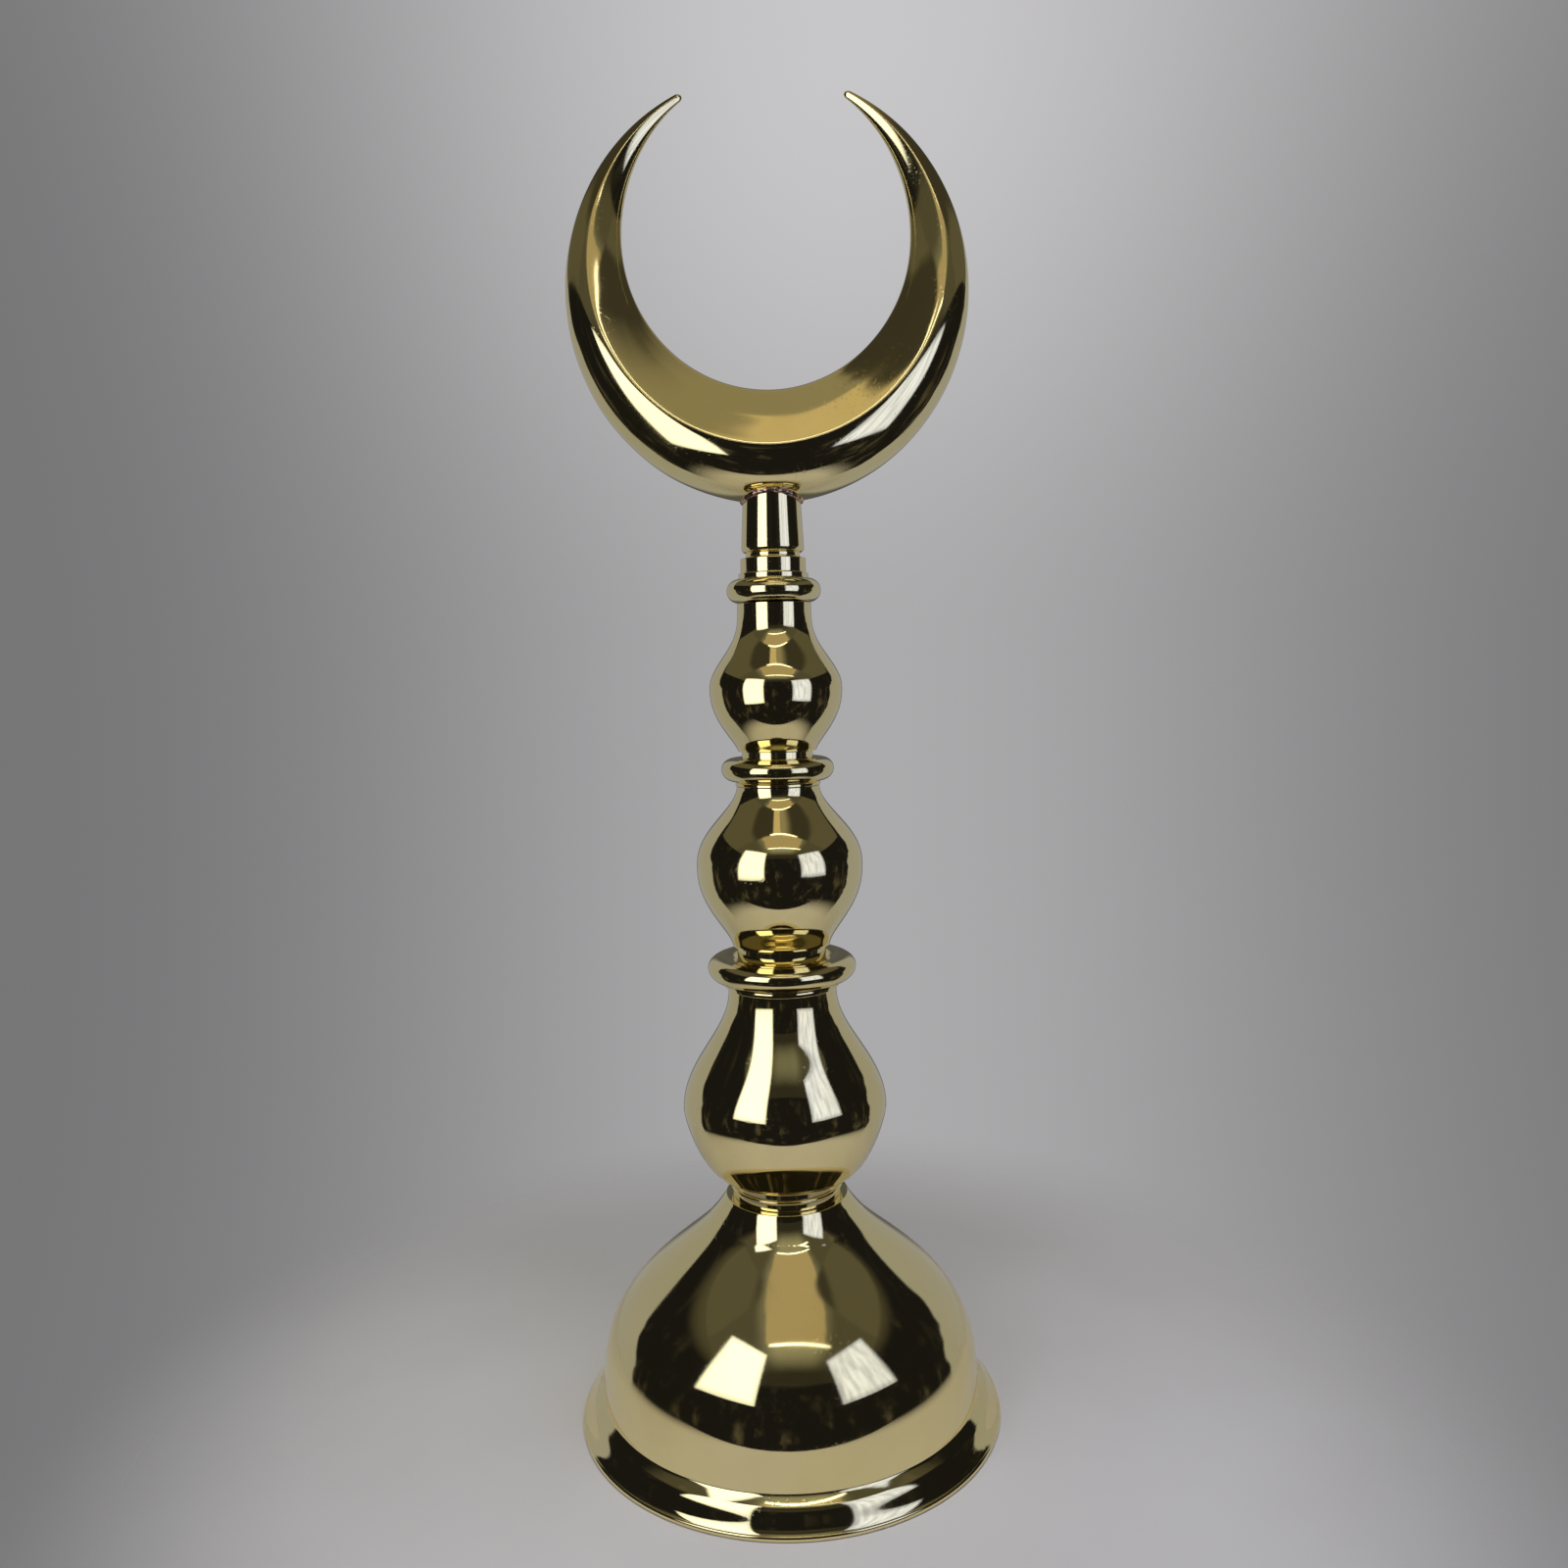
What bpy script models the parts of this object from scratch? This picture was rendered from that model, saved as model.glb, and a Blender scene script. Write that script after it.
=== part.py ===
"""Brass crescent finial: an open spun bell carries three bulbs, moulded collars and an upturned crescent.

Metres, +Z up, the front faces -Y. The origin is on the floor at the middle of the bell's rim.
"""
import math

import bmesh
import bpy
from mathutils import Vector

# Clearance between neighbouring pieces, and of a bulb over the upstand that it sits on
SEAT_GAP = 0.0003

# Bell: an open shell, from the rolled rim up to the crown
RIM_RADIUS = 0.150
BEAD_RADIUS = 0.0021
RIM_LAND = 0.0024
SHEET = 0.0016
WALL_INSET = 0.0160
WALL_FOOT_Z = 0.0205
STEP_DEPTH = 0.0013
FLANGE_RISE = 0.0125
FLANGE_POWER = 0.75
LEDGE = 0.0038
CROWN_NECK_RADIUS = 0.0492
CROWN_RADIUS = 0.0422
BELL_HEIGHT = 0.1585
SHOULDER_POWER = 2.97
SHOULDER_TAIL = 1.99

WALL_RADIUS = RIM_RADIUS - WALL_INSET

# Base collar: a band, a small ring and the band above it
BASE_COLLAR_HEIGHT = 0.0130
BASE_BAND_RADIUS = 0.0384
BASE_RING_RADIUS = 0.0398
BASE_RING_HALF = 0.0015
BASE_RING_Z = 0.0063
BASE_UPPER_RADIUS = 0.0380

# Bulbs: height, then foot, belly and neck radius, belly height, and the power and tail of each flank
LOWER_BULB_HEIGHT = 0.1363
LOWER_FOOT_RADIUS = 0.0390
LOWER_BELLY_RADIUS = 0.0720
LOWER_NECK_RADIUS = 0.0380
LOWER_BELLY_Z = 0.0501
LOWER_UNDER = (1.26, 0.49)
LOWER_OVER = (2.05, 2.50)

MIDDLE_BULB_HEIGHT = 0.1118
MIDDLE_FOOT_RADIUS = 0.0342
MIDDLE_BELLY_RADIUS = 0.0579
MIDDLE_NECK_RADIUS = 0.0288
MIDDLE_BELLY_Z = 0.0562
MIDDLE_UNDER = (2.30, 1.57)
MIDDLE_OVER = (2.30, 2.13)

UPPER_BULB_HEIGHT = 0.1010
UPPER_FOOT_RADIUS = 0.0271
UPPER_BELLY_RADIUS = 0.0458
UPPER_NECK_RADIUS = 0.0254
UPPER_BELLY_Z = 0.0434
UPPER_UNDER = (2.30, 1.41)
UPPER_OVER = (2.00, 4.20)

# Collars between the bulbs: lip, half-round ring, and an upstand that the next bulb sits over
LOWER_COLLAR_HEIGHT = 0.0296
LOWER_LIP_RADIUS = 0.0398
LOWER_LIP_HEIGHT = 0.0024
LOWER_RING_RADIUS = 0.0521
LOWER_RING_OUT = 0.0106
LOWER_RING_UP = 0.0080
LOWER_RING_DOWN = 0.0092
LOWER_RING_Z = 0.0142
LOWER_UPSTAND_RADIUS = 0.0312

UPPER_COLLAR_HEIGHT = 0.0236
UPPER_LIP_RADIUS = 0.0294
UPPER_LIP_HEIGHT = 0.0020
UPPER_RING_RADIUS = 0.0391
UPPER_RING_OUT = 0.0088
UPPER_RING_UP = 0.0077
UPPER_RING_DOWN = 0.0083
UPPER_RING_Z = 0.0115
UPPER_UPSTAND_RADIUS = 0.0246

# Height of an upstand that is hidden in the bulb above it
UPSTAND_SEAT = 0.003

# Neck socket: ring, step, band, groove and a tube that flares down
NECK_RING_RADIUS = 0.0323
NECK_RING_HALF = 0.0080
NECK_RING_Z = 0.0084
NECK_STEP_RADIUS = 0.0239
NECK_STEP_TOP = 0.0202
NECK_BAND_RADIUS = 0.0223
NECK_BAND_TOP = 0.0302
NECK_GROOVE_RADIUS = 0.0184
NECK_GROOVE_TOP = 0.0348
NECK_TUBE_FOOT = 0.0214
NECK_TUBE_TOP = 0.0198
GROOVE_BEVEL = 0.0010
SADDLE_REACH = 0.0120

# Crescent: outer and inner outlines are ellipses, and a ridge runs round front and back
CRESCENT_BOTTOM = 0.0668
OUTER_HALF_WIDTH = 0.1354
OUTER_HALF_LOW = 0.1391
OUTER_HALF_HIGH = 0.1423
INNER_SIDE_INSET = 0.0386
INNER_LOW_INSET = 0.0398
INNER_HIGH_INSET = 0.0348
BOTTOM_THICKNESS = 0.0757
FAN_RISE = 0.0079
HORN_ANGLE = 154.2
RIDGE_SHARE = 0.438
HALF_DEPTH_SHARE = 0.474
OUTER_POWER = 1.60
FLANK_POWER = 0.62
RIDGE_POWER = 1.25
TIP_LENGTH = 0.0034
TIP_TAPER = 0.62
TIP_ADVANCE = 0.75
HORN_CROWDING = 0.25
INNER_HALF_WIDTH = OUTER_HALF_WIDTH - INNER_SIDE_INSET
INNER_HALF_LOW = OUTER_HALF_LOW - INNER_LOW_INSET
INNER_HALF_HIGH = OUTER_HALF_HIGH - INNER_HIGH_INSET

# Height, above the crescent's bottom, of the point that its sections fan out from
CRESCENT_MIDDLE = OUTER_HALF_LOW + FAN_RISE

# Facets round each piece and along the crescent, and how far the rows crowd towards a bulb's ends
ROW_POWER = 0.85
BELL_SIDES = 44
BULB_SIDES = 32
COLLAR_SIDES = 30
NECK_SIDES = 28
HORN_STEPS = 38
ARC_STEPS = 6
FLANK_STEPS = 6
SECTION_STEPS = 7

# Heights of the stacked pieces, each one above its neighbour's top
BASE_COLLAR_AT = BELL_HEIGHT + SEAT_GAP
LOWER_BULB_AT = BASE_COLLAR_AT + BASE_COLLAR_HEIGHT + SEAT_GAP
LOWER_COLLAR_AT = LOWER_BULB_AT + LOWER_BULB_HEIGHT + SEAT_GAP
MIDDLE_BULB_AT = LOWER_COLLAR_AT + LOWER_COLLAR_HEIGHT + SEAT_GAP
UPPER_COLLAR_AT = MIDDLE_BULB_AT + MIDDLE_BULB_HEIGHT + SEAT_GAP
UPPER_BULB_AT = UPPER_COLLAR_AT + UPPER_COLLAR_HEIGHT + SEAT_GAP
NECK_AT = UPPER_BULB_AT + UPPER_BULB_HEIGHT + SEAT_GAP
CRESCENT_AT = NECK_AT + CRESCENT_BOTTOM

BRASS = (0.93, 0.78, 0.44, 1.0)


def material(name, roughness):
    """Polished brass for one piece."""
    mat = bpy.data.materials.new(name)
    mat.use_nodes = True
    shader = mat.node_tree.nodes["Principled BSDF"]
    shader.inputs["Base Color"].default_value = BRASS
    shader.inputs["Metallic"].default_value = 1.0
    shader.inputs["Roughness"].default_value = roughness
    return mat


def add_object(name, bm, roughness=0.12):
    """Turns a finished bmesh into a named, smooth-shaded object with a material of its own."""
    bmesh.ops.recalc_face_normals(bm, faces=bm.faces)
    mesh = bpy.data.meshes.new(name)
    bm.to_mesh(mesh)
    bm.free()
    obj = bpy.data.objects.new(name, mesh)
    bpy.context.scene.collection.objects.link(obj)
    mesh.materials.append(material(name + "_brass", roughness))
    for face in mesh.polygons:
        face.use_smooth = len(face.vertices) < 5
    return obj


def lathe(outline, sides):
    """Closed body turned from (radius, z) points. The first and last points lie on the axis."""
    bm = bmesh.new()
    rings = []
    for radius, z in outline:
        if radius < 1e-9:
            rings.append([bm.verts.new((0.0, 0.0, z))])
            continue
        ring = []
        for i in range(sides):
            angle = 2.0 * math.pi * i / sides
            x = radius * math.cos(angle)
            y = radius * math.sin(angle)
            ring.append(bm.verts.new((x, y, z)))
        rings.append(ring)
    for low, high in zip(rings, rings[1:]):
        for i in range(sides):
            j = (i + 1) % sides
            if len(low) == 1:
                bm.faces.new((low[0], high[j], high[i]))
            elif len(high) == 1:
                bm.faces.new((low[i], low[j], high[0]))
            else:
                bm.faces.new((low[i], low[j], high[j], high[i]))
    return bm


def arc(radius, z, out, up, start, end, steps):
    """Points of an elliptical arc about (radius, z), angles in degrees from straight out."""
    points = []
    for i in range(steps + 1):
        angle = math.radians(start + (end - start) * i / steps)
        points.append((radius + out * math.cos(angle), z + up * math.sin(angle)))
    return points


def flank(mid_radius, end_radius, mid_z, end_z, power, tail, steps):
    """Points of a swelling surface from its widest row out to its end row."""
    points = []
    for i in range(steps + 1):
        u = math.sin(0.5 * math.pi * i / steps) ** ROW_POWER
        swell = (1.0 - u ** power) ** tail
        points.append((end_radius + (mid_radius - end_radius) * swell, mid_z + (end_z - mid_z) * u))
    return points


def bulb(at, height, foot, belly, neck, belly_z, under, over, upstand):
    """Bulb with a socket beneath that fits over an upstand, if there is one."""
    lower = flank(belly, foot, at + belly_z, at, *under, FLANK_STEPS)
    upper = flank(belly, neck, at + belly_z, at + height, *over, FLANK_STEPS)
    outline = [(0.0, at)]
    if upstand:
        roof = at + UPSTAND_SEAT
        bore = upstand + SEAT_GAP
        outline = [(0.0, roof), (bore, roof), (bore, at)]
    outline += lower[::-1] + upper[1:]
    outline.append((0.0, at + height))
    return lathe(outline, BULB_SIDES)


def collar(at, height, lip, lip_height, ring, out, up, down, ring_z, upstand):
    """Collar with a lip, a half-round ring and an upstand that runs on into the bulb above."""
    centre = ring - out
    z = at + ring_z
    lip_top = at + lip_height
    under = math.degrees(math.acos((lip - SEAT_GAP * 4 - centre) / out))
    over = math.degrees(math.acos((upstand - centre) / out))
    outline = [(0.0, at), (lip, at), (lip, lip_top)]
    outline += arc(centre, z, out, down, -under, 0.0, ARC_STEPS - 2)
    outline += arc(centre, z, out, up, 0.0, over, ARC_STEPS - 1)[1:]
    top = at + height + UPSTAND_SEAT - SEAT_GAP
    outline += [(upstand, top), (0.0, top)]
    return lathe(outline, COLLAR_SIDES)


def base_collar():
    """Band, small ring and upper band under the largest bulb."""
    at = BASE_COLLAR_AT
    z = at + BASE_RING_Z
    outline = [(0.0, at), (BASE_BAND_RADIUS, at), (BASE_BAND_RADIUS, z - BASE_RING_HALF)]
    centre = BASE_RING_RADIUS - BASE_RING_HALF
    outline += arc(centre, z, BASE_RING_HALF, BASE_RING_HALF, -90.0, 90.0, 4)
    top = at + BASE_COLLAR_HEIGHT
    outline += [(BASE_UPPER_RADIUS, z + BASE_RING_HALF), (BASE_UPPER_RADIUS, top), (0.0, top)]
    return lathe(outline, COLLAR_SIDES)


def base_bell():
    """Open shell: bead, flange, step, dome and crown outside, and the same less the sheet inside."""
    bead_centre = RIM_RADIUS - BEAD_RADIUS
    land_angle = math.degrees(math.asin(0.5 * RIM_LAND / BEAD_RADIUS))
    land_drop = BEAD_RADIUS * math.cos(math.radians(land_angle))
    z = land_drop
    bead = arc(bead_centre, z, BEAD_RADIUS, BEAD_RADIUS, -90.0 + land_angle, 60.0, 5)
    flange_foot = (bead[-1][0] - 0.0002, bead[-1][1] + SEAT_GAP)
    run = flange_foot[0] - WALL_RADIUS - STEP_DEPTH - LEDGE
    flange = []
    for i in range(4):
        t = i / 3.0
        flange.append((flange_foot[0] - run * t, flange_foot[1] + FLANGE_RISE * t ** FLANGE_POWER))
    step = [(WALL_RADIUS + STEP_DEPTH, WALL_FOOT_Z - STEP_DEPTH), (WALL_RADIUS, WALL_FOOT_Z)]
    dome_top = BELL_HEIGHT - 2.0 * SHEET
    dome = flank(WALL_RADIUS, CROWN_NECK_RADIUS, WALL_FOOT_Z, dome_top, SHOULDER_POWER, SHOULDER_TAIL, 12)
    crown = [(CROWN_RADIUS, BELL_HEIGHT), (0.0, BELL_HEIGHT)]
    outside = bead + flange + step + dome[1:] + crown
    inner_wall = [(r - SHEET, z) for r, z in flank(
        WALL_RADIUS, CROWN_NECK_RADIUS, WALL_FOOT_Z, dome_top - SHEET, SHOULDER_POWER, SHOULDER_TAIL, 8)]
    inner_flange = [
        (bead_centre - 0.5 * RIM_LAND, 0.0),
        (bead_centre - BEAD_RADIUS, BEAD_RADIUS),
        (flange[1][0] - 1.3 * SHEET, flange[1][1] - 0.3 * SHEET),
        (flange[-1][0] - 1.2 * SHEET, flange[-1][1] - 0.9 * SHEET),
        (WALL_RADIUS - SHEET, WALL_FOOT_Z - SHEET),
    ]
    roof = BELL_HEIGHT - 2.0 * SHEET
    inside = inner_flange + inner_wall + [(CROWN_RADIUS - 2.0 * SHEET, roof), (0.0, roof)]
    return lathe(outside[::-1] + inside, BELL_SIDES)


def ellipse_reach(angle, centre_z, half_width, half_high, half_low):
    """Distance from the crescent's middle to an ellipse, along an angle from straight down."""
    dx = math.sin(angle)
    dz = -math.cos(angle)
    half_height = half_low
    for _ in range(2):
        a = (dx / half_width) ** 2 + (dz / half_height) ** 2
        b = -2.0 * dz * centre_z / half_height ** 2
        c = (centre_z / half_height) ** 2 - 1.0
        reach = (-b + math.sqrt(b * b - 4.0 * a * c)) / (2.0 * a)
        half_height = half_high if reach * dz > centre_z else half_low
    return reach


def crescent_section(angle, grow):
    """Outer reach, ridge reach, inner reach and half depth at an angle from straight down."""
    outer_z = OUTER_HALF_LOW - CRESCENT_MIDDLE
    inner_z = BOTTOM_THICKNESS + INNER_HALF_LOW - CRESCENT_MIDDLE
    outer = ellipse_reach(angle, outer_z, OUTER_HALF_WIDTH, OUTER_HALF_HIGH, OUTER_HALF_LOW)
    inner = ellipse_reach(angle, inner_z, INNER_HALF_WIDTH, INNER_HALF_HIGH, INNER_HALF_LOW)
    thick = outer - inner
    ridge = outer - RIDGE_SHARE * thick
    return outer + grow, ridge, inner - grow, HALF_DEPTH_SHARE * thick + grow


def crescent(grow=0.0):
    """Closed horned ring. Each section is a rounded bow outside the ridges and a gable inside."""
    bm = bmesh.new()
    rings = []
    limit = math.radians(HORN_ANGLE)
    base = CRESCENT_AT + CRESCENT_MIDDLE
    for i in range(-HORN_STEPS // 2, HORN_STEPS // 2 + 1):
        place = 2.0 * i / HORN_STEPS
        crowded = math.sin(0.5 * math.pi * place)
        angle = limit * (HORN_CROWDING * crowded + (1.0 - HORN_CROWDING) * place)
        outer, ridge, inner, depth = crescent_section(angle, grow)
        ring = []
        for k in range(SECTION_STEPS):
            turn = math.pi * k / SECTION_STEPS
            share = math.sin(turn)
            half = depth * math.sqrt(1.0 - share ** OUTER_POWER)
            ring.append((ridge + (outer - ridge) * share, math.copysign(half, -math.cos(turn))))
        for k in range(SECTION_STEPS):
            turn = 2.0 * k / SECTION_STEPS - 1.0
            share = 1.0 - abs(turn) ** RIDGE_POWER
            half = depth * (1.0 - share) ** FLANK_POWER
            ring.append((ridge - (ridge - inner) * share, math.copysign(half, -turn)))
        out = Vector((math.sin(angle), 0.0, -math.cos(angle)))
        centre = Vector((0.0, 0.0, base))
        rings.append([bm.verts.new(centre + out * r + Vector((0.0, y, 0.0))) for r, y in ring])
    count = 2 * SECTION_STEPS
    for low, high in zip(rings, rings[1:]):
        for k in range(count):
            m = (k + 1) % count
            bm.faces.new((low[k], low[m], high[m], high[k]))
    for ring, side in ((rings[0], -1.0), (rings[-1], 1.0)):
        middle = sum((v.co for v in ring), Vector()) / count
        along = Vector((math.cos(limit), 0.0, math.sin(limit))) * TIP_LENGTH
        along.x *= side
        cap = []
        for v in ring:
            cap.append(bm.verts.new(middle + (v.co - middle) * TIP_TAPER + along * TIP_ADVANCE))
        tip = bm.verts.new(middle + along)
        for k in range(count):
            m = (k + 1) % count
            bm.faces.new((ring[k], ring[m], cap[m], cap[k]))
            bm.faces.new((cap[k], cap[m], tip))
    bmesh.ops.recalc_face_normals(bm, faces=bm.faces)
    return bm


def neck_socket():
    """Turned socket. Its tube is cut to a saddle by the crescent, grown by the clearance."""
    at = NECK_AT
    z = at + NECK_RING_Z
    centre = NECK_RING_RADIUS - NECK_RING_HALF
    top = at + CRESCENT_BOTTOM + SADDLE_REACH
    outline = [(0.0, at)]
    outline += arc(centre, z, NECK_RING_HALF, NECK_RING_HALF, -85.0, 85.0, ARC_STEPS + 1)
    outline += [
        (NECK_STEP_RADIUS, z + NECK_RING_HALF),
        (NECK_STEP_RADIUS, at + NECK_STEP_TOP),
        (NECK_BAND_RADIUS, at + NECK_STEP_TOP),
        (NECK_BAND_RADIUS, at + NECK_BAND_TOP),
        (NECK_GROOVE_RADIUS, at + NECK_BAND_TOP + GROOVE_BEVEL),
        (NECK_GROOVE_RADIUS, at + NECK_GROOVE_TOP - GROOVE_BEVEL),
        (NECK_TUBE_FOOT - GROOVE_BEVEL, at + NECK_GROOVE_TOP),
        (NECK_TUBE_FOOT, at + NECK_GROOVE_TOP + 2.0 * GROOVE_BEVEL),
        (NECK_TUBE_TOP, top),
        (0.0, top),
    ]
    return lathe(outline, NECK_SIDES)


def cut(target, cutter_mesh):
    """Takes a closed bmesh away from an object, exactly, and leaves no helper behind."""
    mesh = bpy.data.meshes.new("cutter")
    cutter_mesh.to_mesh(mesh)
    cutter_mesh.free()
    cutter = bpy.data.objects.new("cutter", mesh)
    bpy.context.scene.collection.objects.link(cutter)
    difference = target.modifiers.new("saddle", "BOOLEAN")
    difference.operation = "DIFFERENCE"
    difference.solver = "EXACT"
    difference.object = cutter
    graph = bpy.context.evaluated_depsgraph_get()
    result = bpy.data.meshes.new_from_object(target.evaluated_get(graph))
    target.modifiers.clear()
    target.data = result
    bpy.data.objects.remove(cutter, do_unlink=True)


for old in list(bpy.data.objects):
    bpy.data.objects.remove(old, do_unlink=True)

add_object("base_bell", base_bell())
add_object("base_collar", base_collar())
add_object("lower_bulb", bulb(
    LOWER_BULB_AT, LOWER_BULB_HEIGHT, LOWER_FOOT_RADIUS, LOWER_BELLY_RADIUS, LOWER_NECK_RADIUS,
    LOWER_BELLY_Z, LOWER_UNDER, LOWER_OVER, 0.0))
add_object("lower_collar", collar(
    LOWER_COLLAR_AT, LOWER_COLLAR_HEIGHT, LOWER_LIP_RADIUS, LOWER_LIP_HEIGHT, LOWER_RING_RADIUS,
    LOWER_RING_OUT, LOWER_RING_UP, LOWER_RING_DOWN, LOWER_RING_Z, LOWER_UPSTAND_RADIUS))
add_object("middle_bulb", bulb(
    MIDDLE_BULB_AT, MIDDLE_BULB_HEIGHT, MIDDLE_FOOT_RADIUS, MIDDLE_BELLY_RADIUS, MIDDLE_NECK_RADIUS,
    MIDDLE_BELLY_Z, MIDDLE_UNDER, MIDDLE_OVER, LOWER_UPSTAND_RADIUS))
add_object("upper_collar", collar(
    UPPER_COLLAR_AT, UPPER_COLLAR_HEIGHT, UPPER_LIP_RADIUS, UPPER_LIP_HEIGHT, UPPER_RING_RADIUS,
    UPPER_RING_OUT, UPPER_RING_UP, UPPER_RING_DOWN, UPPER_RING_Z, UPPER_UPSTAND_RADIUS))
add_object("upper_bulb", bulb(
    UPPER_BULB_AT, UPPER_BULB_HEIGHT, UPPER_FOOT_RADIUS, UPPER_BELLY_RADIUS, UPPER_NECK_RADIUS,
    UPPER_BELLY_Z, UPPER_UNDER, UPPER_OVER, UPPER_UPSTAND_RADIUS))
cut(add_object("neck_socket", neck_socket()), crescent(SEAT_GAP))
add_object("crescent", crescent())
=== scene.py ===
"""Looks of the brass crescent finial: finely turned pieces, a crescent, a solder bead and a pale studio.

Metres, +Z up, the front faces -Y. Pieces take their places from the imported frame.
"""
import math

import bmesh
import bpy
from mathutils import Matrix, Vector, noise
from mathutils.bvhtree import BVHTree


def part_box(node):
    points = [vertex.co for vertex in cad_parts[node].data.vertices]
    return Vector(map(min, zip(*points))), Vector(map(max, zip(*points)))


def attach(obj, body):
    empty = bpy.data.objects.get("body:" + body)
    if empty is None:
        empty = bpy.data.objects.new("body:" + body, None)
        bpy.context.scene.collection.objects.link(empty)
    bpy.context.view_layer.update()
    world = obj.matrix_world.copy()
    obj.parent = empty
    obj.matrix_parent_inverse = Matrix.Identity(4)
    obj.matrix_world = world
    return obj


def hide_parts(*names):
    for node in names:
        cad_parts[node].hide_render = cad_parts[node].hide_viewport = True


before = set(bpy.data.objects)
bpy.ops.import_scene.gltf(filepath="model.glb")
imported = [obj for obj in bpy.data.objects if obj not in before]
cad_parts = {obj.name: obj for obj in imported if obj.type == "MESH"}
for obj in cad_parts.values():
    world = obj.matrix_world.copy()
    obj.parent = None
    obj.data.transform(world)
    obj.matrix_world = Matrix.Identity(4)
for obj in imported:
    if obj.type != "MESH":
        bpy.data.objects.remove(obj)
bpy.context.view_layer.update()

# Sizes that the part's source gives, in metres
SEAT_GAP = 0.0003
RIM_RADIUS = 0.150
BEAD_RADIUS = 0.0021
RIM_LAND = 0.0024
SHEET = 0.0016
WALL_RADIUS = 0.134
WALL_FOOT_Z = 0.0205
STEP_DEPTH = 0.0013
FLANGE_RISE = 0.0125
LEDGE = 0.0038
CROWN_NECK_RADIUS = 0.0492
CROWN_RADIUS = 0.0422
BELL_HEIGHT = 0.1585
SHOULDER_POWER = 2.97
SHOULDER_TAIL = 1.99
BASE_COLLAR_HEIGHT = 0.0130
BASE_BAND_RADIUS = 0.0384
BASE_RING_RADIUS = 0.0398
BASE_RING_HALF = 0.0015
BASE_RING_Z = 0.0063
BASE_UPPER_RADIUS = 0.0380
LOWER_UPSTAND_RADIUS = 0.0312
UPPER_UPSTAND_RADIUS = 0.0246
UPSTAND_SEAT = 0.003
CRESCENT_BOTTOM = 0.0668
OUTER_HALF_WIDTH = 0.1354
OUTER_HALF_LOW = 0.1391
OUTER_HALF_HIGH = 0.1423
INNER_HALF_WIDTH = 0.0968
INNER_HALF_LOW = 0.0993
INNER_HALF_HIGH = 0.1075
BOTTOM_THICKNESS = 0.0757
FAN_RISE = 0.0079
HORN_ANGLE = 154.2
RIDGE_SHARE = 0.438
HALF_DEPTH_SHARE = 0.474
TIP_LENGTH = 0.0034
CRESCENT_MIDDLE = OUTER_HALF_LOW + FAN_RISE

# Bell's bead: how far round it goes, where the flange meets it, and how far the flange runs in
BEAD_END_ANGLE = 72.0
BEAD_MEET_ANGLE = 60.0
BEAD_MEET_DEPTH = 0.0002

# Sheet under the flange: shares of the sheet that it moves in and down, and its first row
FLANGE_UNDER = (1.2, 0.7)
FLANGE_UNDER_ROW = 8

# Hollow curve from the dome into the crown: where it starts, the point that it bends towards, and its end
CROWN_CURVE_Z = 0.1418
CROWN_CURVE_MIDDLE = (0.0482, 0.1495)
CROWN_EDGE_RADIUS = 0.0435

# Shapes of the profiles: the flange's S, how rows crowd, and the crescent's bow, gable and small roll
FLANGE_SWEEP = 0.40
ROW_POWER = 0.85
BOW_POWER = 1.60
GABLE_POWER = 1.61
ROLL_REACH = 0.0042
ROLL_MOST = 0.22
ROLL_POWER = 0.58

# Each bulb: height, foot, belly and neck radius, belly height, power and tail under and over, upstand beneath
BULBS = {
    "lower_bulb": (0.1363, 0.0390, 0.0720, 0.0380, 0.0501, (1.26, 0.49), (2.05, 2.50), 0.0),
    "middle_bulb": (0.1118, 0.0342, 0.0579, 0.0288, 0.0562, (2.30, 1.57), (2.30, 2.13), LOWER_UPSTAND_RADIUS),
    "upper_bulb": (0.1010, 0.0271, 0.0458, 0.0254, 0.0434, (2.30, 1.41), (2.00, 4.20), UPPER_UPSTAND_RADIUS),
}

# Each collar: height, lip radius and height, ring radius, reach out, up and down, ring height, upstand above
COLLARS = {
    "lower_collar": (0.0296, 0.0398, 0.0024, 0.0521, 0.0106, 0.0080, 0.0092, 0.0142, LOWER_UPSTAND_RADIUS),
    "upper_collar": (0.0236, 0.0294, 0.0020, 0.0391, 0.0088, 0.0077, 0.0083, 0.0115, UPPER_UPSTAND_RADIUS),
}

# Step in from a collar's lip to its half-round ring
LIP_INSET = 4.0 * SEAT_GAP

# Neck socket, from the ring up to the tube, with the tube's straight start and the slack of a level test
NECK_RING_RADIUS = 0.0323
NECK_RING_HALF = 0.0080
NECK_RING_Z = 0.0084
NECK_RING_ANGLE = 85.0
NECK_STEP_RADIUS = 0.0239
NECK_STEP_TOP = 0.0202
NECK_BAND_RADIUS = 0.0223
NECK_BAND_TOP = 0.0302
NECK_GROOVE_RADIUS = 0.0184
NECK_GROOVE_TOP = 0.0348
NECK_TUBE_FOOT = 0.0214
NECK_TUBE_TOP = 0.0198
GROOVE_BEVEL = 0.0010
TUBE_LAND = 0.001
LEVEL_SLACK = 1e-6

# Fineness of the shown meshes, and how rows crowd at the crescent's horns and columns at its ridges
BELL_SIDES = 192
TURNED_SIDES = 160
BEAD_STEPS = 18
FLANGE_STEPS = 24
DOME_STEPS = 96
CROWN_STEPS = 16
INSIDE_STEPS = 60
BASE_RING_STEPS = 16
BULB_STEPS = (56, 72)
COLLAR_STEPS = (22, 26)
NECK_RING_STEPS = 30
TUBE_ROWS = 30
SADDLE_RINGS = 8
CRESCENT_ROWS = 560
BOW_COLUMNS = 34
GABLE_COLUMNS = 52
TIP_ROWS = 8
HORN_CROWDING = 0.25
RIDGE_CROWDING = 1.6

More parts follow.
